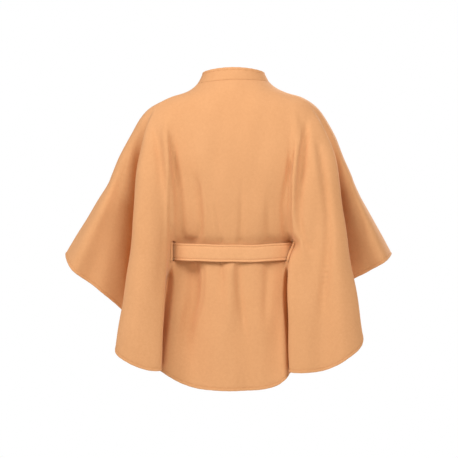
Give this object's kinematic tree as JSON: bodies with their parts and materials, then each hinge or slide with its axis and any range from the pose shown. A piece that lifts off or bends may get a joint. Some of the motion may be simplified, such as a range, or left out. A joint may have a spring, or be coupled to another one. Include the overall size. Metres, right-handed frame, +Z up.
{
  "type": "poncho cape",
  "caption": "Hip-length poncho cape of thick wool cloth with a small stand collar, wide open wing sleeves and a belt through waist slits.",
  "frame": {"origin": "middle of the neck opening, level with the points where the neck meets the shoulders", "axes": "+Z up, +X to the wearer's left, -Y the way the wearer faces, so that +Y points out of the back"},
  "size_m": [0.82, 0.336, 0.7854],
  "materials": {
    "cape_wool": "felted wool with a short nap",
    "belt_wool": "felted wool, double and topstitched"
  },
  "bodies": {
    "root": {"back": "cape_wool", "front_left": "cape_wool", "front_right": "cape_wool", "collar": "cape_wool", "belt": "belt_wool", "slit_edging_back_left": "cape_wool", "slit_edging_back_right": "cape_wool", "slit_edging_front_left": "cape_wool", "slit_edging_front_right": "cape_wool"}
  },
  "joints": []
}
